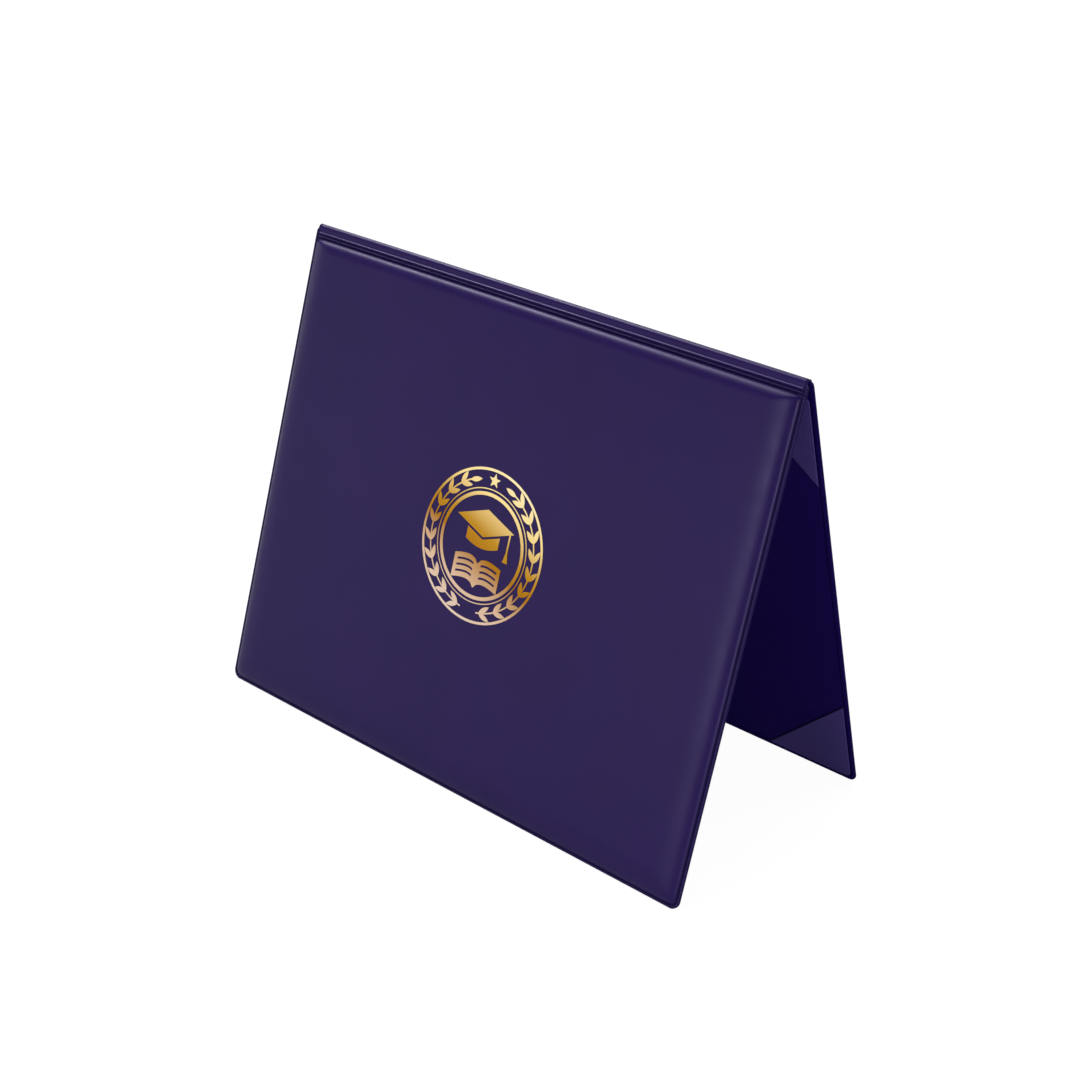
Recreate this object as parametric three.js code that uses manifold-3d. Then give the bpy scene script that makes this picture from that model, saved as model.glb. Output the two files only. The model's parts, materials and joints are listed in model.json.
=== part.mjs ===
// Padded vinyl diploma cover, standing open like a tent.
// Millimetres, +Z up, X along the ridge, the front cover towards -Y, origin on the floor under the middle.

import * as THREE from 'three';
import { mergeVertices } from 'three/addons/utils/BufferGeometryUtils.js';
import Module from 'manifold-3d';

const wasm = await Module();
wasm.setup();

// Driving dimensions of the covers
const panelWidth = 292.1;
const panelHeight = 231;
const spineStrip = 5.2;
const openAngle = 33.6;
const cornerRadius = 4.5;
const stripCornerRadius = 1.8;

// Sheets and layers
const skinThickness = 0.5;
const liningThickness = 0.4;
const boardThickness = 1.5;
const foamThickness = 1.8;
const foldRadius = 1.9;
const layerClearance = 0.1;
const foldClearance = 0.15;
const closedClearance = 0.15;

// Welded edge and the padding's rounding
const weldWidth = 1.9;
const padRun = 13;
const padRoundness = 2.5;
const backRun = 2.2;
const backRoundness = 1.8;
const padSteps = 9;
const edgeSteps = 4;
const cornerSteps = 4;

// Weld ribs on the spine strip
const ribRadius = 0.65;
const ribHeight = 0.45;
const ribFromFold = 2.5;
const ribSides = 12;
const rollSides = 24;

// Corner pockets
const pocketLeg = 47;
const pocketThickness = 0.3;
const pocketSlot = 0.25;
const pocketInset = 2.6;
const pocketSeam = 1.2;

// Emblem, from its outside in
const emblemRadius = 36.6;
const emblemFromFold = 117;
const outerRingWidth = 1.25;
const innerRingShare = 0.743;
const innerRingWidth = 0.5;
const frameGap = 1.3;
const frameWidth = 1.7;
const leafPairs = 9;
const leafSpread = 0.5;
const starGap = 0.5;
const bookLines = 3;
const foilThickness = 0.12;
const foilGap = 0.05;
const ringSteps = 36;
const curveSteps = 8;

// Worked out from the driving dimensions
const halfAngle = THREE.MathUtils.degToRad(openAngle / 2);
const halfWidth = panelWidth / 2;
const coverLength = spineStrip + panelHeight;
const liningFace = pocketThickness + pocketSlot + 2 * layerClearance + closedClearance;
const skinBase = liningFace + liningThickness + layerClearance;
const frontTop = Math.sqrt((foldRadius + foldClearance) ** 2 - liningFace ** 2);
const padRise = boardThickness + foamThickness + 3 * layerClearance;
const backRise = boardThickness + 2 * layerClearance;
const padFace = skinBase + skinThickness + padRise;
const innerRingRadius = innerRingShare * emblemRadius;
const bandOuter = emblemRadius - outerRingWidth;
const bandMiddle = (bandOuter + innerRingRadius) / 2;
const bandWidth = bandOuter - innerRingRadius;
const frameRadius = innerRingRadius - innerRingWidth - frameGap;
const field = frameRadius - frameWidth;
const capHalf = 0.74 * field;
const capDrop = 0.28 * field;
const capMiddle = 0.46 * field;
const capGap = 0.05 * field;
const bookWidth = 0.6 * field;
const bookHeight = 0.5 * field;
const bookFoot = -0.86 * field;
const pageCurl = 0.126 * field;

const vinyl = { name: 'vinyl', color: 0x352a57, roughness: 0.5, metalness: 0 };
const liner = { name: 'liner', color: 0x1d1140, roughness: 0.45, metalness: 0 };
const board = { name: 'board', color: 0x9a8f80, roughness: 0.9, metalness: 0 };
const foam = { name: 'foam', color: 0xe6e2d6, roughness: 0.95, metalness: 0 };
const foil = { name: 'foil', color: 0xd9a545, roughness: 0.3, metalness: 1 };

function toSolid(geometry) {
  const bare = geometry.clone();
  bare.deleteAttribute('normal');
  bare.deleteAttribute('uv');
  const merged = mergeVertices(bare, 1e-4);
  return new wasm.Manifold(new wasm.Mesh({
    numProp: 3,
    vertProperties: new Float32Array(merged.attributes.position.array),
    triVerts: new Uint32Array(merged.index.array),
  }));
}

function toGeometry(solid) {
  const mesh = solid.getMesh();
  const geometry = new THREE.BufferGeometry();
  geometry.setAttribute('position', new THREE.BufferAttribute(new Float32Array(mesh.vertProperties), 3));
  geometry.setIndex(new THREE.BufferAttribute(new Uint32Array(mesh.triVerts), 1));
  geometry.computeVertexNormals();
  return geometry;
}

// A rectangle with its lower corners rounded by one radius and its upper corners by another
function coverShape(half, top, bottom, lowRadius, topRadius) {
  const shape = new THREE.Shape();
  shape.absarc(half - lowRadius, bottom + lowRadius, lowRadius, -Math.PI / 2, 0, false);
  shape.absarc(half - topRadius, top - topRadius, topRadius, 0, Math.PI / 2, false);
  shape.absarc(-half + topRadius, top - topRadius, topRadius, Math.PI / 2, Math.PI, false);
  shape.absarc(-half + lowRadius, bottom + lowRadius, lowRadius, Math.PI, 1.5 * Math.PI, false);
  shape.closePath();
  return shape;
}

function slab(shape, base, thickness, curveSegments = cornerSteps) {
  const geometry = new THREE.ExtrudeGeometry(shape, { depth: thickness, bevelEnabled: false, curveSegments });
  return geometry.translate(0, 0, base);
}

// One ring of points: the padded panel's outline, moved in from its weld line and lifted
function padRing(inset, height) {
  const half = halfWidth - weldWidth - inset;
  const top = -spineStrip - inset;
  const bottom = -coverLength + weldWidth + inset;
  const radius = Math.max(cornerRadius - weldWidth / 2 - inset / 2, 0.8);
  const points = [];
  const corners = [[half, bottom, 1, 1], [half, top, 1, -1], [-half, top, -1, -1], [-half, bottom, -1, 1]];
  corners.forEach(([x, y, towardsX, towardsY], corner) => {
    const start = (corner - 1) * Math.PI / 2;
    for (let step = 0; step <= cornerSteps; step += 1) {
      const angle = start + (step / cornerSteps) * Math.PI / 2;
      points.push(new THREE.Vector3(
        x - towardsX * radius + radius * Math.cos(angle),
        y + towardsY * radius + radius * Math.sin(angle),
        height,
      ));
    }
  });
  return points;
}

// A closed body through a stack of rings, with flat ends
function loft(rings) {
  const count = rings[0].length;
  const positions = rings.flat().flatMap((point) => [point.x, point.y, point.z]);
  const indices = [];
  for (let ring = 0; ring < rings.length - 1; ring += 1) {
    for (let side = 0; side < count; side += 1) {
      const a = ring * count + side;
      const b = ring * count + ((side + 1) % count);
      indices.push(a, b, b + count, a, b + count, a + count);
    }
  }
  const last = (rings.length - 1) * count;
  for (let side = 1; side < count - 1; side += 1) {
    indices.push(0, side + 1, side);
    indices.push(last, last + side, last + side + 1);
  }
  const geometry = new THREE.BufferGeometry();
  geometry.setAttribute('position', new THREE.Float32BufferAttribute(positions, 3));
  geometry.setIndex(indices);
  return geometry;
}

// How far in from the weld line the padding reaches a share of its full rise, and how it curves there
function padding(rise, run, roundness, steps) {
  const insetAt = (height) => {
    const share = Math.min(Math.max(height / rise, 0), 1);
    return run * (1 - (1 - share ** roundness) ** (1 / roundness));
  };
  const heightAt = (inset) => {
    const share = Math.min(Math.max(inset / run, 0), 1);
    return rise * (1 - (1 - share) ** roundness) ** (1 / roundness);
  };
  const stations = Array.from({ length: steps }, (_, index) => run * ((index + 1) / steps) ** 1.7);
  return { insetAt, heightAt, stations, rise };
}

// The padding's upper face at a share of the way in, closed below by a flat underside
function domeSolid(pad, extraInset, underside, base) {
  const rings = [padRing(extraInset, underside), padRing(extraInset, base)];
  pad.stations.forEach((inset) => rings.push(padRing(inset + extraInset, base + pad.heightAt(inset))));
  return toSolid(loft(rings));
}

function barAlongRidge(radius, centreY, centreZ, length, sides) {
  const geometry = new THREE.CylinderGeometry(radius, radius, length, sides);
  return toSolid(geometry.rotateZ(Math.PI / 2).translate(0, centreY, centreZ));
}

// A low half-round rib along the spine strip, cut off inside the sheet
function ribSolid() {
  const sheetTop = skinBase + skinThickness;
  const length = panelWidth - 2 * weldWidth;
  const rib = barAlongRidge(ribRadius, -ribFromFold, sheetTop + ribHeight - ribRadius, length, ribSides);
  const below = new THREE.BoxGeometry(panelWidth, 4 * ribRadius, 4 * ribRadius);
  below.translate(0, -ribFromFold, sheetTop - skinThickness / 2 - 2 * ribRadius);
  return rib.subtract(toSolid(below));
}

// The outer sheet: a flat welded border and spine strip, drawn up over what it covers
function skinSolid(pad, top) {
  const outline = coverShape(halfWidth, -top, -coverLength, cornerRadius, stripCornerRadius);
  const border = toSolid(slab(outline, skinBase, skinThickness));
  const dome = domeSolid(pad, 0, skinBase, skinBase + skinThickness);
  const cavity = domeSolid(pad, skinThickness, skinBase - skinThickness, skinBase);
  return border.add(dome).add(ribSolid()).subtract(cavity);
}

function frontSkin(pad) {
  return toGeometry(skinSolid(pad, frontTop));
}

// The back sheet carries the rolled ridge that both covers turn on
function backSkin(pad) {
  const roll = barAlongRidge(foldRadius, 0, 0, panelWidth - 2 * stripCornerRadius, rollSides);
  return toGeometry(skinSolid(pad, 0).add(roll));
}

function boardGeometry(pad) {
  const inset = skinThickness + pad.insetAt(boardThickness + 2 * layerClearance) + layerClearance;
  const base = skinBase + layerClearance;
  return loft([padRing(inset, base), padRing(inset, base + boardThickness)]);
}

function foamGeometry(pad) {
  const low = boardThickness + 2 * layerClearance;
  const high = pad.rise - layerClearance;
  const rings = [];
  for (let step = 0; step <= padSteps; step += 1) {
    const height = low + (high - low) * Math.sin((step / padSteps) * Math.PI / 2);
    const inset = skinThickness + pad.insetAt(height + layerClearance) + layerClearance;
    rings.push(padRing(inset, skinBase + height));
  }
  return loft(rings);
}

function liningGeometry(top) {
  const outline = coverShape(halfWidth, -top, -coverLength, cornerRadius, stripCornerRadius);
  return slab(outline, liningFace, liningThickness);
}

// A corner pocket drawn with its corner at the origin and its legs along +X and +Y
function pocketSheet() {
  const radius = cornerRadius - pocketInset / 2;
  const shape = new THREE.Shape();
  shape.moveTo(pocketLeg, 0);
  shape.lineTo(0, pocketLeg);
  shape.lineTo(0, radius);
  shape.absarc(radius, radius, radius, Math.PI, 1.5 * Math.PI, false);
  shape.closePath();
  return shape;
}

// What is hollow under the pocket, between its two welded seams
function pocketSpace() {
  const shape = new THREE.Shape();
  shape.moveTo(pocketSeam, pocketSeam);
  shape.lineTo(pocketLeg, pocketSeam);
  shape.lineTo(pocketLeg, pocketLeg);
  shape.lineTo(pocketSeam, pocketLeg);
  shape.closePath();
  return shape;
}

// sideX and sideY are the directions from the panel's middle to the pocket's corner
function pocketGeometry(sideX, sideY) {
  const seat = liningFace - layerClearance;
  const depth = pocketThickness + pocketSlot;
  const sheet = toSolid(slab(pocketSheet(), seat - depth, depth));
  const space = toSolid(slab(pocketSpace(), seat - pocketSlot, 2 * pocketSlot));
  const low = -coverLength + pocketInset;
  const high = -spineStrip - pocketInset;
  const cornerX = sideX * (halfWidth - pocketInset);
  const cornerY = sideY < 0 ? low : high;
  return toGeometry(sheet.subtract(space).scale([-sideX, -sideY, 1]).translate([cornerX, cornerY, 0]));
}

// Every foil shape is drawn round the emblem's centre and stamped on the padded face
function stamped(solid) {
  return toGeometry(solid.translate([0, -emblemFromFold, padFace + foilGap]));
}

function foilSolid(shape, steps = curveSteps) {
  return toSolid(slab(shape, 0, foilThickness, steps));
}

function polygonShape(points) {
  return new THREE.Shape(points.map(([x, y]) => new THREE.Vector2(x, y)));
}

function ringSolid(radius, width) {
  const shape = new THREE.Shape();
  shape.absarc(0, 0, radius, 0, 2 * Math.PI, false);
  const hole = new THREE.Path();
  hole.absarc(0, 0, radius - width, 0, 2 * Math.PI, true);
  shape.holes.push(hole);
  return foilSolid(shape, ringSteps);
}

// A leaf that grows from a point on the emblem's band, given as an angle, in a direction
function leafSolid(angle, direction) {
  const length = 0.88 * bandWidth;
  const bulge = 0.3 * bandWidth;
  const shape = new THREE.Shape();
  shape.moveTo(0, 0);
  shape.quadraticCurveTo(length * 0.45, bulge, length, 0);
  shape.quadraticCurveTo(length * 0.45, -bulge, 0, 0);
  return foilSolid(shape, 6)
    .rotate([0, 0, THREE.MathUtils.radToDeg(direction)])
    .translate([bandMiddle * Math.cos(angle), bandMiddle * Math.sin(angle), 0]);
}

// A laurel branch that climbs one side of the band, from its foot to below the star
function branchSolid() {
  const start = -Math.PI / 2 + 0.16;
  const end = Math.PI / 2 - 0.44;
  const stemHalf = 0.045 * bandWidth;
  const stem = new THREE.Shape();
  stem.absarc(0, 0, bandMiddle + stemHalf, start, end, false);
  stem.absarc(0, 0, bandMiddle - stemHalf, end, start, true);
  stem.closePath();
  let branch = foilSolid(stem, 2 * curveSteps);
  for (let pair = 0; pair < leafPairs; pair += 1) {
    const angle = start + (end - start) * ((pair + 0.2) / leafPairs);
    const along = angle + Math.PI / 2;
    branch = branch.add(leafSolid(angle, along - leafSpread)).add(leafSolid(angle, along + leafSpread));
  }
  return branch.add(leafSolid(end - 0.03, end + Math.PI / 2 + 0.1));
}

function starSolid() {
  const radius = bandWidth / 2 - starGap;
  const points = Array.from({ length: 10 }, (_, index) => {
    const reach = index % 2 ? 0.42 * radius : radius;
    const angle = Math.PI / 2 + (index * Math.PI) / 5;
    return [reach * Math.cos(angle), bandMiddle + reach * Math.sin(angle)];
  });
  return foilSolid(polygonShape(points));
}

// The flat top of a square academic cap, seen from a little above, with its tassel
function capTopSolid() {
  const cordX = 0.88 * capHalf;
  const cordHalf = 0.02 * field;
  const cordEnd = capMiddle - 0.4 * field;
  const tasselHalf = 0.065 * field;
  const tasselEnd = cordEnd - 0.2 * field;
  const top = polygonShape([
    [-capHalf, capMiddle], [0, capMiddle - capDrop], [capHalf, capMiddle], [0, capMiddle + capDrop],
  ]);
  const tassel = polygonShape([
    [cordX - cordHalf, capMiddle], [cordX - cordHalf, cordEnd], [cordX - tasselHalf, tasselEnd],
    [cordX + tasselHalf, tasselEnd], [cordX + cordHalf, cordEnd], [cordX + cordHalf, capMiddle],
  ]);
  return foilSolid(top).add(foilSolid(tassel));
}

// The cap's crown, which shows below its top with a thin line between
function capCrownSolid() {
  const half = 0.42 * field;
  const height = 0.24 * field;
  const curve = 0.2 * field;
  const upperAt = (x) => capMiddle - capDrop * (1 - x / capHalf) - capGap;
  const lower = upperAt(half) - height;
  const crown = new THREE.Shape();
  crown.moveTo(-half, upperAt(half));
  crown.lineTo(-half, lower);
  crown.quadraticCurveTo(0, lower - curve, half, lower);
  crown.lineTo(half, upperAt(half));
  crown.lineTo(0, upperAt(0));
  crown.closePath();
  return foilSolid(crown);
}

// A strip that follows the curve of a book's page, between two heights over the page's foot
function pageStrip(from, to, low, high) {
  const rise = (x) => pageCurl * Math.sin(Math.PI * (x / (1.3 * bookWidth)) ** 0.6);
  const steps = Array.from({ length: curveSteps + 1 }, (_, index) => from + (to - from) * (index / curveSteps));
  const under = steps.map((x) => [x, bookFoot + low + rise(x)]);
  const over = steps.map((x) => [x, bookFoot + high + rise(x)]).reverse();
  return foilSolid(polygonShape([...under, ...over]));
}

// An open book under the cap: two pages joined at the spine, with plain lines left bare
function bookSolid() {
  let page = pageStrip(0, bookWidth, 0, bookHeight);
  for (let line = 1; line <= bookLines; line += 1) {
    const middle = (bookHeight * line) / (bookLines + 1);
    const half = 0.022 * field;
    page = page.subtract(pageStrip(0.16 * bookWidth, 0.86 * bookWidth, middle - half, middle + half));
  }
  return page.add(page.mirror([1, 0, 0]));
}

function piece(name, look, geometry) {
  const mesh = new THREE.Mesh(geometry, new THREE.MeshStandardMaterial(look));
  mesh.name = name;
  return mesh;
}

// Local axes of a cover: X along the ridge, Y up the cover to the fold, Z out of its outer face
function cover(pieces, turn) {
  const leaning = new THREE.Group();
  leaning.rotation.x = Math.PI / 2 - halfAngle;
  leaning.add(...pieces);
  const facing = new THREE.Group();
  facing.rotation.z = turn;
  facing.add(leaning);
  return facing;
}

function frontCover() {
  const pad = padding(padRise, padRun, padRoundness, padSteps);
  const branch = branchSolid();
  return cover([
    piece('front_skin', vinyl, frontSkin(pad)),
    piece('front_foam', foam, foamGeometry(pad)),
    piece('front_board', board, boardGeometry(pad)),
    piece('front_lining', liner, liningGeometry(frontTop)),
    piece('foil_outer_ring', foil, stamped(ringSolid(emblemRadius, outerRingWidth))),
    piece('foil_inner_ring', foil, stamped(ringSolid(innerRingRadius, innerRingWidth))),
    piece('foil_frame_ring', foil, stamped(ringSolid(frameRadius, frameWidth))),
    piece('foil_wreath_right', foil, stamped(branch)),
    piece('foil_wreath_left', foil, stamped(branch.mirror([1, 0, 0]))),
    piece('foil_star', foil, stamped(starSolid())),
    piece('foil_cap_top', foil, stamped(capTopSolid())),
    piece('foil_cap_crown', foil, stamped(capCrownSolid())),
    piece('foil_book', foil, stamped(bookSolid())),
  ], 0);
}

// The back cover is turned to face away, so its left is at +X in its own axes
function backCover() {
  const pad = padding(backRise, backRun, backRoundness, edgeSteps);
  return cover([
    piece('back_skin', vinyl, backSkin(pad)),
    piece('back_board', board, boardGeometry(pad)),
    piece('back_lining', liner, liningGeometry(foldRadius + foldClearance)),
    piece('pocket_bottom_left', vinyl, pocketGeometry(1, -1)),
    piece('pocket_bottom_right', vinyl, pocketGeometry(-1, -1)),
    piece('pocket_top_left', vinyl, pocketGeometry(1, 1)),
    piece('pocket_top_right', vinyl, pocketGeometry(-1, 1)),
  ], Math.PI);
}

const foldHeight = coverLength * Math.cos(halfAngle) - liningFace * Math.sin(halfAngle);
const diplomaCover = new THREE.Group();
diplomaCover.add(frontCover(), backCover());
diplomaCover.position.z = foldHeight;
diplomaCover.updateMatrixWorld(true);
const bounds = new THREE.Box3().setFromObject(diplomaCover, true);
diplomaCover.position.y = -(bounds.min.y + bounds.max.y) / 2;

export default diplomaCover;
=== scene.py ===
"""Padded vinyl diploma cover that stands open like a tent: its sheets, pockets, foil, lights and camera."""
import json
import math

import bmesh
import bpy
from mathutils import Matrix, Vector


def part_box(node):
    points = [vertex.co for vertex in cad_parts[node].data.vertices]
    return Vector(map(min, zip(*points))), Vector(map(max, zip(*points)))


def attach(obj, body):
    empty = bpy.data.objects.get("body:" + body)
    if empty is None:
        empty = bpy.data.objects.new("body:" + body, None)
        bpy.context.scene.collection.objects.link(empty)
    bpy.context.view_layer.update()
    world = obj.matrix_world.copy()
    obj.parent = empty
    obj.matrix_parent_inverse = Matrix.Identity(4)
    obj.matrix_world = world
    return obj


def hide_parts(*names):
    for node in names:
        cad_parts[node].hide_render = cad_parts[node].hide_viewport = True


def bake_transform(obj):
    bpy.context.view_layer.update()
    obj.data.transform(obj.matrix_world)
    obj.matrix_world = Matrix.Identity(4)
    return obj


MM = 0.001

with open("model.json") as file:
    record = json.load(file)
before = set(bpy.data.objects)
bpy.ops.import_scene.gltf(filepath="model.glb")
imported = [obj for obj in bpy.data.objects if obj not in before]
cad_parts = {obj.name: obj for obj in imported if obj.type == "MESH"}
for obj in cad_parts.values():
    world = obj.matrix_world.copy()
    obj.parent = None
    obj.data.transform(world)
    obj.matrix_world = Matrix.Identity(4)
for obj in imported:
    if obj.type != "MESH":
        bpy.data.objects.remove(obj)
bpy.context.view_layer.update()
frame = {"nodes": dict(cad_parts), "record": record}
record = frame["record"]
fold_joint = record["behaviour"]["joints"][0]

# Layers of a cover, as distances out from the fold's axis
LINING_INNER = 0.9 * MM
LINING_OUTER = 1.3 * MM
SKIN_INNER = 1.4 * MM
SKIN_OUTER = 1.9 * MM
SKIN_THICKNESS = SKIN_OUTER - SKIN_INNER

# Taken from the frame
FOLD = Vector(fold_joint["pos_m"])
HALF_ANGLE = math.radians(-fold_joint["range_deg"][0] / 2)
HALF_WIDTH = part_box("front_skin")[1].x
COVER_LENGTH = (FOLD.z + LINING_INNER * math.sin(HALF_ANGLE)) / math.cos(HALF_ANGLE)

# Padding: rise over the flat sheet, distance it takes, and how full its curve is
WELD_WIDTH = 1.9 * MM
STRIP = 5.2 * MM
FRONT_PAD = {"rise": 3.6 * MM, "run": 13.5 * MM, "top_run": 5.5 * MM, "fullness": 1.9, "corner": 7}
FRONT_UNDERSIDE = {"rise": 3.6 * MM, "run": 13 * MM, "top_run": 13 * MM, "fullness": 2.5, "corner": 7}
BACK_PAD = {"rise": 1.7 * MM, "run": 2.2 * MM, "top_run": 2.2 * MM, "fullness": 1.8, "corner": 3}
THINNEST_SKIN = 0.1 * MM
CORNER_RADIUS = 4.5 * MM

# Pressed lines of the outer sheet in mm: distance from the cover's edge or from the fold, rise and width
EDGE_LINES = ((0, -0.24, 0.2), (0.75, 0.24, 0.4), (1.6, -0.36, 0.28))
STRIP_LINES = ((2.5, 0.58, 0.4), (4.15, 0.38, 0.28), (3.4, -0.42, 0.28), (4.9, -0.42, 0.3))
STRIP_END = 2.1 * MM

# Pressed lines of the lining
LINING_EDGE_LINES = ((2.5, 0.2, 0.35), (0, 0.12, 0.2))
LINING_STRIP_LINES = ((STRIP / MM, 0.12, 0.5),)

# Corner pockets on the inside of the back cover
POCKET_LEG = 47 * MM
POCKET_INSET = 2.6 * MM
POCKET_CORNER = 3.2 * MM
POCKET_FACE = 0.25 * MM
POCKET_THICKNESS = 0.3 * MM

# Painted shade of the vinyl in its pressed lines and along its rim, as shares of its plain colour, its
# roughness there, and the tint of its shine
PAINTED_SHADE_TINT = (0.25, 0.12, 0.55)
GROOVE_ROUGHNESS = 0.8
SHEEN_TINT = (0.74, 0.67, 1.0, 1)

# Lamps: place and size in metres and power in watts, all aimed at AIM
AIM = Vector((0, 0, 0.11))
LAMPS = {
    "key_softbox": ((-0.72, -0.12, 2.4), (2.0, 1.6), 25),
    "glint_softbox": ((-0.87, 0.12, 1.24), (0.5, 0.3), 10),
    "front_softbox": ((-1.05, -1.6, 0.2), (1.5, 0.6), 3.4),
    "front_strip": ((-0.12, -1.8, 0.4), (0.26, 0.75), 7),
    "rim_softbox": ((-0.9, 0.97, 0.78), (0.8, 0.5), 4),
    "right_softbox": ((1.5, -0.8, 0.2), (0.5, 0.4), 12),
    "back_softbox": ((0.5, 1.6, 1.1), (1.4, 1.0), 16),
    "left_softbox": ((-1.6, -0.4, 0.35), (0.6, 0.6), 2),
}
FLOOR_REACH = 40.0

# Camera solved from the photograph
IMAGE_SIZE = 1080
FOCAL_PIXELS = 1993.5
SENSOR_WIDTH = 36
CAMERA_PLACE = Vector((558.05, -638.36, 530.29)) * MM
CAMERA_AZIMUTH = math.radians(41.057)
CAMERA_ELEVATION = math.radians(26.663)
CAMERA_ROLL = math.radians(-1.264)


def add_camera():
    """A camera that looks as the photograph does."""
    forward = Vector((
        -math.sin(CAMERA_AZIMUTH) * math.cos(CAMERA_ELEVATION),
        math.cos(CAMERA_AZIMUTH) * math.cos(CAMERA_ELEVATION),
        -math.sin(CAMERA_ELEVATION),
    ))
    right = forward.cross(Vector((0, 0, 1))).normalized()
    down = forward.cross(right)
    cosine, sine = math.cos(CAMERA_ROLL), math.sin(CAMERA_ROLL)
    right, down = right * cosine + down * sine, down * cosine - right * sine
    data = bpy.data.cameras.new("camera")
    data.sensor_width = SENSOR_WIDTH
    data.lens = FOCAL_PIXELS / IMAGE_SIZE * SENSOR_WIDTH
    camera = bpy.data.objects.new("camera", data)
    turned = Matrix((right, -down, -forward)).transposed().to_4x4()
    camera.matrix_world = Matrix.Translation(CAMERA_PLACE) @ turned
    bpy.context.scene.collection.objects.link(camera)
    bpy.context.scene.camera = camera


# Materials

def new_material(name):
    material = bpy.data.materials.new(name)
    material.use_nodes = True
    tree = material.node_tree
    return material, tree, tree.nodes["Principled BSDF"]


def object_noise(tree, scale, detail=3.0, roughness=0.5):
    """Noise in the frame's own coordinates, so that it stays put on every piece."""
    coordinates = tree.nodes.new("ShaderNodeTexCoord")
    noise = tree.nodes.new("ShaderNodeTexNoise")
    noise.inputs["Scale"].default_value = scale
    noise.inputs["Detail"].default_value = detail
    noise.inputs["Roughness"].default_value = roughness
    tree.links.new(coordinates.outputs["Object"], noise.inputs["Vector"])
    return noise.outputs["Fac"]


def ramp(tree, source, stops):
    node = tree.nodes.new("ShaderNodeValToRGB")
    elements = node.color_ramp.elements
    while len(elements) < len(stops):
        elements.new(0.5)
    for element, (place, colour) in zip(elements, stops):
        element.position = place
        element.color = (*colour, 1)
    tree.links.new(source, node.inputs["Fac"])
    return node.outputs["Color"]


def spread(tree, source, low, high):
    node = tree.nodes.new("ShaderNodeMapRange")
    node.inputs["From Min"].default_value = 0.3
    node.inputs["From Max"].default_value = 0.7
    node.inputs["To Min"].default_value = low
    node.inputs["To Max"].default_value = high
    tree.links.new(source, node.inputs["Value"])
    return node.outputs["Result"]


def bump(tree, shader, source, strength, distance, before=None):
    node = tree.nodes.new("ShaderNodeBump")
    node.inputs["Strength"].default_value = strength
    node.inputs["Distance"].default_value = distance
    tree.links.new(source, node.inputs["Height"])
    if before is not None:
        tree.links.new(before, node.inputs["Normal"])
    tree.links.new(node.outputs["Normal"], shader.inputs["Normal"])
    return node.outputs["Normal"]


def vinyl_material(name, dark, light, roughness, specular):
    """Smooth vinyl film: mottled colour, uneven gloss, a fine grain and a slight unevenness."""
    material, tree, shader = new_material(name)
    mottle = object_noise(tree, 22, 2.0)
    plain = ramp(tree, mottle, [(0.3, dark), (0.7, light)])
    # Painted shade: where a sheet's painted shade attribute is high, the colour turns to a darker tinted
    # share of its dark tone and the gloss turns rough.
    painted_shade = tree.nodes.new("ShaderNodeAttribute")
    painted_shade.attribute_name = "painted_shade"
    shaded = tree.nodes.new("ShaderNodeMix")
    shaded.data_type = "RGBA"
    tree.links.new(painted_shade.outputs["Fac"], shaded.inputs["Factor"])
    tree.links.new(plain, shaded.inputs["A"])
    shaded.inputs["B"].default_value = (*[share * value for share, value in zip(PAINTED_SHADE_TINT, dark)], 1)
    tree.links.new(shaded.outputs["Result"], shader.inputs["Base Color"])
    gloss = spread(tree, object_noise(tree, 140, 4.0, 0.6), roughness - 0.035, roughness + 0.035)
    duller = tree.nodes.new("ShaderNodeMix")
    tree.links.new(painted_shade.outputs["Fac"], duller.inputs["Factor"])
    tree.links.new(gloss, duller.inputs["A"])
    duller.inputs["B"].default_value = GROOVE_ROUGHNESS
    tree.links.new(duller.outputs["Result"], shader.inputs["Roughness"])
    shader.inputs["Specular IOR Level"].default_value = specular
    shader.inputs["Specular Tint"].default_value = SHEEN_TINT
    grain = object_noise(tree, 2600, 2.0)
    unevenness = object_noise(tree, 60, 2.0)
    waves = bump(tree, shader, unevenness, 0.12, 0.0006)
    bump(tree, shader, grain, 0.08, 0.00006, waves)
    return material


def foil_material():
    """Hot-stamped gold foil: the gold is the foil's own, and its run of tone from pale through amber to a
    pinkish pale gold is a painted reflection.
    """
    material, tree, shader = new_material("gold_foil")
    low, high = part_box("foil_outer_ring")
    middle = (low + high) / 2
    reach = (high.x - low.x) / 2
    coordinates = tree.nodes.new("ShaderNodeTexCoord")
    mapping = tree.nodes.new("ShaderNodeVectorMath")
    mapping.operation = "DOT_PRODUCT"
    tree.links.new(coordinates.outputs["Object"], mapping.inputs[0])
    along = Vector((0.35, 0, 1)).normalized() / (2 * reach)
    mapping.inputs[1].default_value = along
    shifted = tree.nodes.new("ShaderNodeMath")
    shifted.operation = "SUBTRACT"
    shifted.inputs[1].default_value = along.dot(middle) - 0.5
    tree.links.new(mapping.outputs["Value"], shifted.inputs[0])
    # Painted reflection: bands from pale through amber to pinkish pale gold across the emblem.
    stops = [
        (0.0, (0.80, 0.62, 0.50)),
        (0.22, (0.72, 0.50, 0.34)),
        (0.45, (0.40, 0.165, 0.008)),
        (0.58, (0.50, 0.25, 0.02)),
        (0.80, (0.92, 0.70, 0.30)),
        (1.0, (0.95, 0.80, 0.46)),
    ]
    tree.links.new(ramp(tree, shifted.outputs[0], stops), shader.inputs["Base Color"])
    shader.inputs["Metallic"].default_value = 1
    shader.inputs["Roughness"].default_value = 0.32
    bump(tree, shader, object_noise(tree, 1500, 2.0), 0.1, 0.00005)
    return material


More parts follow.
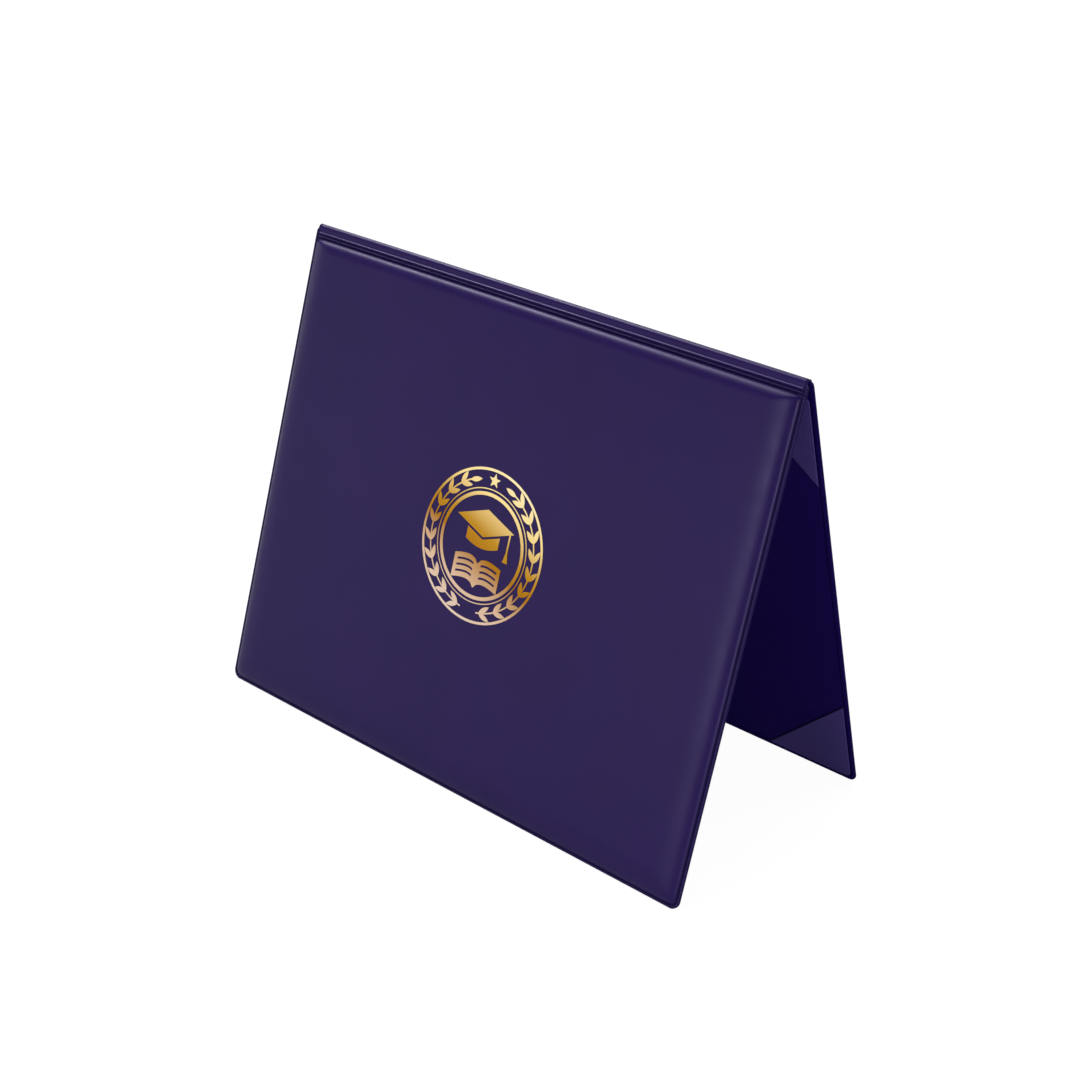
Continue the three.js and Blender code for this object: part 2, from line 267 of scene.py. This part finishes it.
def hidden_material(name, dark, light, scale):
    material, tree, shader = new_material(name)
    speckle = object_noise(tree, scale, 5.0, 0.7)
    tree.links.new(ramp(tree, speckle, [(0.3, dark), (0.7, light)]), shader.inputs["Base Color"])
    shader.inputs["Roughness"].default_value = 0.9
    bump(tree, shader, speckle, 0.3, 0.0003)
    return material


# Sheets that run over the fold from one cover to the other

def out_from_fold(turn):
    """Unit vector away from the fold's axis: turn 0 is out of the front cover, 1 out of the back cover."""
    angle = math.pi - HALF_ANGLE + turn * (2 * HALF_ANGLE - math.pi)
    return Vector((0, math.cos(angle), math.sin(angle)))


def down_cover(side):
    """Unit vector from the fold down a cover: side -1 is the front and 1 the back."""
    return Vector((0, side * math.sin(HALF_ANGLE), -math.cos(HALF_ANGLE)))


def growing(first, growth, reach):
    """Distances from 0 that grow step by step until they pass reach."""
    places = [0.0]
    step = first
    while places[-1] < reach:
        places.append(places[-1] + step)
        step *= growth
    return places


def edge_stations(total):
    """Distances across a sheet of this width from its outer edge, close together where the weld is."""
    flange = [0, 0.1, 0.25, 0.45, 0.65, 0.85, 1.05, 1.25, 1.4, 1.55, 1.7, 1.8]
    flange = [place * MM for place in flange]
    pad = [WELD_WIDTH + place for place in growing(0.05 * MM, 1.17, 16 * MM)]
    start = pad[-1]
    count = max(int((total - start) / (9 * MM)), 1)
    middle = [start + (total - start) * (index + 1) / count for index in range(count)]
    return flange + pad + middle


def strip_stations():
    """Distances from the fold over the spine strip and the first of the padding."""
    strip = [STRIP * index / 26 for index in range(26)]
    pad = [STRIP + place for place in growing(0.05 * MM, 1.17, 16 * MM)]
    return strip + pad


def widths():
    """Places across the cover, from -1 side to the other."""
    half = [place - HALF_WIDTH for place in edge_stations(HALF_WIDTH)]
    return half + [-place for place in reversed(half[:-1])]


def rows():
    """Rows along the sheet as (side, turn, distance from the fold)."""
    top = strip_stations()
    split = (COVER_LENGTH + top[-1]) / 2
    bottom = [COVER_LENGTH - place for place in edge_stations(COVER_LENGTH - split)]
    gap = split - top[-1]
    count = max(int(gap / (9 * MM)), 1)
    middle = [top[-1] + gap * (index + 1) / count for index in range(count - 1)]
    down = top + middle + list(reversed(bottom))
    arc_steps = 14
    front = [(-1, 0.0, distance) for distance in reversed(down)]
    arc = [(0, index / arc_steps, 0.0) for index in range(1, arc_steps)]
    back = [(1, 1.0, distance) for distance in down]
    return front + arc + back


def rounded_corner(x, distance):
    """Moves a point in the square of a bottom corner onto the rounded corner."""
    across = abs(x) - (HALF_WIDTH - CORNER_RADIUS)
    along = distance - (COVER_LENGTH - CORNER_RADIUS)
    if across <= 0 or along <= 0:
        return x, distance
    a, b = across / CORNER_RADIUS, along / CORNER_RADIUS
    across = CORNER_RADIUS * a * math.sqrt(1 - b * b / 2)
    along = CORNER_RADIUS * b * math.sqrt(1 - a * a / 2)
    x = math.copysign(HALF_WIDTH - CORNER_RADIUS + across, x)
    return x, COVER_LENGTH - CORNER_RADIUS + along


def notched(x, distance):
    """Draws the sheet's ends in beside the fold, where the two covers' corners are rounded."""
    depth = 1.2 * MM * math.exp(-((distance / (1.3 * MM)) ** 2))
    share = max(0.0, 1 - (HALF_WIDTH - abs(x)) / (4 * MM))
    return x - math.copysign(depth * share, x)


def bell(value, centre, width):
    return math.exp(-(((value - centre) / width) ** 2))


def pressed(lines, distance):
    """Sum of the rises of pressed lines at a distance."""
    return sum(rise * MM * bell(distance, place * MM, width * MM) for place, rise, width in lines)


def rounded_maximum(a, b, width):
    return max(a, b) + width * math.log(1 + math.exp(-abs(a - b) / width))


def edge_distance(x, distance):
    """How far a point lies inside the cover's outline, the fold not counted."""
    across = HALF_WIDTH - abs(x)
    along = COVER_LENGTH - distance
    if across < CORNER_RADIUS and along < CORNER_RADIUS:
        return CORNER_RADIUS - math.hypot(CORNER_RADIUS - across, CORNER_RADIUS - along)
    return min(across, along)


def pad_height(pad, x, distance, inset=0.0):
    """Rise of the padding: 0 on its weld line and full on its flat face, rounded at the corners."""
    reaches = (
        (HALF_WIDTH - WELD_WIDTH - abs(x)) / pad["run"],
        (COVER_LENGTH - WELD_WIDTH - distance) / pad["run"],
        (distance - STRIP) / pad["top_run"],
    )
    falls = [max(1 - reach, 0.0) for reach in reaches]
    fall = sum(value ** pad["corner"] for value in falls) ** (1 / pad["corner"])
    share = min(max(1 - fall - inset / pad["run"], 0.0), 1.0)
    return pad["rise"] * (1 - (1 - share) ** pad["fullness"]) ** (1 / pad["fullness"])


def skin_outer(side, x, distance):
    """Height of the outer sheet's face over the fold's axis."""
    height = SKIN_OUTER + pressed(EDGE_LINES, edge_distance(x, distance))
    inside = 1 / (1 + math.exp(-(HALF_WIDTH - abs(x) - STRIP_END) / (0.12 * MM)))
    height += inside * pressed(STRIP_LINES, distance)
    if side == 0:
        return height
    if side > 0:
        return height + pad_height(BACK_PAD, x, distance)
    height += pad_height(FRONT_PAD, x, distance)
    return rounded_maximum(height, skin_inner(side, x, distance) + THINNEST_SKIN, 0.08 * MM)


def skin_inner(side, x, distance):
    if side == 0:
        return SKIN_INNER
    pad = FRONT_UNDERSIDE if side < 0 else BACK_PAD
    return SKIN_INNER + pad_height(pad, x, distance, SKIN_THICKNESS)


def lining_inner(side, x, distance):
    """Height of the lining's visible face: flat, with the weld pressed in along the edges."""
    height = LINING_INNER + pressed(LINING_EDGE_LINES, edge_distance(x, distance))
    return height + pressed(LINING_STRIP_LINES, distance)


def lining_outer(side, x, distance):
    return LINING_OUTER


def skin_shade(side, x, distance):
    """Painted shade on the skin, from 0 to 1: darker in two pressed lines of the spine strip, in the weld
    line near the edge and along the rim.
    """
    edge = edge_distance(x, distance)
    strip_line_shade = bell(distance, 3.4 * MM, 0.3 * MM) + bell(distance, 4.95 * MM, 0.35 * MM)
    return min(strip_line_shade + bell(edge, 1.65 * MM, 0.45 * MM) + bell(edge, 0, 0.4 * MM), 1.0)


# Painted shade on the lining, from 0 to 1: darker along its pressed weld line near the edges.
def lining_shade(side, x, distance):
    return bell(edge_distance(x, distance), 2.5 * MM, 0.45 * MM)


def sheet_mesh(name, outer, inner, shade):
    """A closed sheet over both covers, between an outer and an inner height."""
    across = widths()
    along = rows()
    points = []
    painted_shade_values = []
    for height in (outer, inner):
        for side, turn, distance in along:
            away = out_from_fold(turn)
            down = down_cover(side) if side else Vector((0, 0, 0))
            for place in across:
                x, reach = rounded_corner(place, distance)
                x = notched(x, reach)
                points.append(FOLD + Vector((x, 0, 0)) + down * reach + away * height(side, x, reach))
                painted_shade_values.append(shade(side, x, reach))
    columns, count = len(across), len(along)
    half = columns * count

    def corner(row, column, layer):
        return layer * half + row * columns + column

    faces = []
    for row in range(count - 1):
        for column in range(columns - 1):
            a, b = corner(row, column, 0), corner(row, column + 1, 0)
            c, d = corner(row + 1, column + 1, 0), corner(row + 1, column, 0)
            faces.append((a, b, c, d))
            faces.append((d + half, c + half, b + half, a + half))
    loop = [corner(0, column, 0) for column in range(columns)]
    loop += [corner(row, columns - 1, 0) for row in range(1, count)]
    loop += [corner(count - 1, column, 0) for column in range(columns - 2, -1, -1)]
    loop += [corner(row, 0, 0) for row in range(count - 2, 0, -1)]
    for index, a in enumerate(loop):
        b = loop[(index + 1) % len(loop)]
        faces.append((b, a, a + half, b + half))
    sheet = mesh_object(name, points, faces)
    # Each point keeps its painted shade, which darkens the vinyl's colour in its material.
    sheet.data.attributes.new("painted_shade", "FLOAT", "POINT").data.foreach_set("value", painted_shade_values)
    return sheet


def mesh_object(name, points, faces):
    mesh = bpy.data.meshes.new(name)
    mesh.from_pydata([tuple(point) for point in points], [], faces)
    mesh.validate()
    mesh.update()
    mesh.polygons.foreach_set("use_smooth", [True] * len(mesh.polygons))
    piece = bpy.data.objects.new(name, mesh)
    bpy.context.scene.collection.objects.link(piece)
    return piece


def bend_over_fold(piece):
    """Bakes the sheet's placement into its points; the sheet's turn between the covers, over a little more
    than its roll round the fold, is already built in sheet_mesh.
    """
    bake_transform(piece)


def make_skin(material):
    skin = sheet_mesh("outer_skin", skin_outer, skin_inner, skin_shade)
    skin.data.materials.append(material)
    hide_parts("front_skin", "back_skin")
    bend_over_fold(skin)


def make_lining(material):
    lining = sheet_mesh("inner_lining", lining_outer, lining_inner, lining_shade)
    lining.data.materials.append(material)
    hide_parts("front_lining", "back_lining")
    bend_over_fold(lining)


# Pockets

def pocket_height(a, b):
    """Height of the pocket's visible face over the fold's axis, from the distances to its two legs."""
    near = min(a, b)
    free = (POCKET_LEG - a - b) / math.sqrt(2)
    puff = min(near / (10 * MM), 1.0) * (1 - min(free / (30 * MM), 1.0)) ** 2
    height = POCKET_FACE - 0.12 * MM * puff
    height += 0.18 * MM * bell(near, 0, 0.3 * MM)
    height += 0.14 * MM * bell(near, 1.2 * MM, 0.35 * MM)
    return height + 0.1 * MM * bell(free, 0, 0.25 * MM)


def pocket_mesh(name, side_x, side_y):
    """side_x and side_y are the directions from the cover's middle to the pocket's corner."""
    lines = growing(0.2 * MM, 1.12, POCKET_LEG)
    lines[-1] = POCKET_LEG
    grid = bmesh.new()
    points = [[grid.verts.new((a, b, 0)) for b in lines] for a in lines]
    for i in range(len(lines) - 1):
        for j in range(len(lines) - 1):
            grid.faces.new((points[i][j], points[i + 1][j], points[i + 1][j + 1], points[i][j + 1]))
    diagonal = Vector((1, 1, 0)).normalized()
    for inset in (0, 0.15, 0.35, 0.6, 1.0, 1.6):
        whole = grid.verts[:] + grid.edges[:] + grid.faces[:]
        place = diagonal * (POCKET_LEG / math.sqrt(2) - inset * MM)
        bmesh.ops.bisect_plane(grid, geom=whole, plane_co=place, plane_no=diagonal, clear_outer=inset == 0)
    away = out_from_fold(1)
    down = down_cover(1)
    corner_x = side_x * (HALF_WIDTH - POCKET_INSET)
    corner_down = COVER_LENGTH - POCKET_INSET if side_y < 0 else STRIP + POCKET_INSET
    for vertex in grid.verts:
        a, b = vertex.co.x, vertex.co.y
        height = pocket_height(a, b)
        if a < POCKET_CORNER and b < POCKET_CORNER:
            p, q = 1 - a / POCKET_CORNER, 1 - b / POCKET_CORNER
            a = POCKET_CORNER * (1 - p * math.sqrt(1 - q * q / 2))
            b = POCKET_CORNER * (1 - q * math.sqrt(1 - p * p / 2))
        reach = corner_down + side_y * b
        vertex.co = FOLD + Vector((corner_x - side_x * a, 0, 0)) + down * reach + away * height
    mesh = bpy.data.meshes.new(name)
    grid.normal_update()
    grid.faces.ensure_lookup_table()
    if grid.faces[0].normal.dot(away) > 0:
        bmesh.ops.reverse_faces(grid, faces=grid.faces[:])
    grid.to_mesh(mesh)
    grid.free()
    mesh.polygons.foreach_set("use_smooth", [True] * len(mesh.polygons))
    pocket = bpy.data.objects.new(name, mesh)
    bpy.context.scene.collection.objects.link(pocket)
    thick = pocket.modifiers.new("thickness", "SOLIDIFY")
    thick.thickness = POCKET_THICKNESS
    thick.offset = -1
    apply_modifiers(pocket)
    return pocket


def apply_modifiers(piece):
    view = bpy.context.evaluated_depsgraph_get()
    baked = bpy.data.meshes.new_from_object(piece.evaluated_get(view))
    piece.modifiers.clear()
    piece.data = baked


def make_pockets(material):
    for height_name, side_y in (("bottom", -1), ("top", 1)):
        for side_name, side_x in (("left", -1), ("right", 1)):
            node = f"pocket_{height_name}_{side_name}"
            pocket = pocket_mesh(f"corner_{node}", side_x, side_y)
            pocket.data.materials.append(material)
            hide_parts(node)
            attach(pocket, "back_cover")


def paint_node(node, material):
    piece = frame["nodes"][node]
    piece.data.materials.clear()
    piece.data.materials.append(material)


def paint_nodes():
    foil = foil_material()
    chipboard = hidden_material("chipboard", (0.27, 0.22, 0.17), (0.38, 0.33, 0.27), 900)
    padding = hidden_material("padding_foam", (0.72, 0.68, 0.58), (0.84, 0.81, 0.74), 1600)
    for node in frame["nodes"]:
        if node.startswith("foil_"):
            paint_node(node, foil)
        elif node.endswith("_board"):
            paint_node(node, chipboard)
        elif node.endswith("_foam"):
            paint_node(node, padding)


# Floor, world and lamps

def add_floor():
    """A pale floor that shows white and keeps the faintest of shadows."""
    turns = ((-1, -1), (1, -1), (1, 1), (-1, 1))
    corners = [Vector((x * FLOOR_REACH, y * FLOOR_REACH, 0)) for x, y in turns]
    floor = mesh_object("floor", corners, [(0, 1, 2, 3)])
    material, tree, shader = new_material("pale_floor")
    shader.inputs["Base Color"].default_value = (0.6, 0.6, 0.6, 1)
    shader.inputs["Roughness"].default_value = 0.9
    shader.inputs["Specular IOR Level"].default_value = 0.1
    glow = tree.nodes.new("ShaderNodeEmission")
    glow.inputs["Strength"].default_value = 1.12
    path = tree.nodes.new("ShaderNodeLightPath")
    share = tree.nodes.new("ShaderNodeMath")
    share.operation = "MULTIPLY"
    share.inputs[1].default_value = 0.86
    tree.links.new(path.outputs["Is Camera Ray"], share.inputs[0])
    mix = tree.nodes.new("ShaderNodeMixShader")
    tree.links.new(share.outputs[0], mix.inputs["Fac"])
    tree.links.new(shader.outputs[0], mix.inputs[1])
    tree.links.new(glow.outputs[0], mix.inputs[2])
    tree.links.new(mix.outputs[0], tree.nodes["Material Output"].inputs["Surface"])
    floor.data.materials.append(material)


def add_world():
    world = bpy.data.worlds.new("studio")
    bpy.context.scene.world = world
    world.use_nodes = True
    tree = world.node_tree
    background = tree.nodes["Background"]
    path = tree.nodes.new("ShaderNodeLightPath")
    seen = tree.nodes.new("ShaderNodeMath")
    seen.operation = "MAXIMUM"
    tree.links.new(path.outputs["Is Camera Ray"], seen.inputs[0])
    tree.links.new(path.outputs["Is Transmission Ray"], seen.inputs[1])
    strength = tree.nodes.new("ShaderNodeMapRange")
    strength.inputs["To Min"].default_value = 0.15
    strength.inputs["To Max"].default_value = 1.0
    tree.links.new(seen.outputs[0], strength.inputs["Value"])
    tree.links.new(strength.outputs["Result"], background.inputs["Strength"])
    background.inputs["Color"].default_value = (1, 1, 1, 1)


def add_lamps():
    for name, (place, size, power) in LAMPS.items():
        data = bpy.data.lights.new(name, "AREA")
        data.shape = "RECTANGLE"
        data.size, data.size_y = size
        data.energy = power
        lamp = bpy.data.objects.new(name, data)
        turned = (AIM - Vector(place)).to_track_quat("-Z", "Y").to_matrix().to_4x4()
        lamp.matrix_world = Matrix.Translation(Vector(place)) @ turned
        bpy.context.scene.collection.objects.link(lamp)


add_camera()
vinyl = vinyl_material("purple_vinyl", (0.0130, 0.0038, 0.062), (0.0152, 0.0046, 0.071), 0.38, 0.26)
liner = vinyl_material("dark_liner", (0.0112, 0.0036, 0.080), (0.0132, 0.0044, 0.092), 0.45, 0.03)
# The pockets are the cover's vinyl written lighter: painted light that makes up for the shade they lie in
# inside the tent.
lit_pocket_vinyl = vinyl_material("lit_pocket_vinyl", (0.054, 0.036, 0.172), (0.061, 0.041, 0.190), 0.4, 0.3)
make_skin(vinyl)
make_lining(liner)
make_pockets(lit_pocket_vinyl)
paint_nodes()
add_floor()
add_world()
add_lamps()
bpy.context.scene.view_settings.view_transform = "Standard"
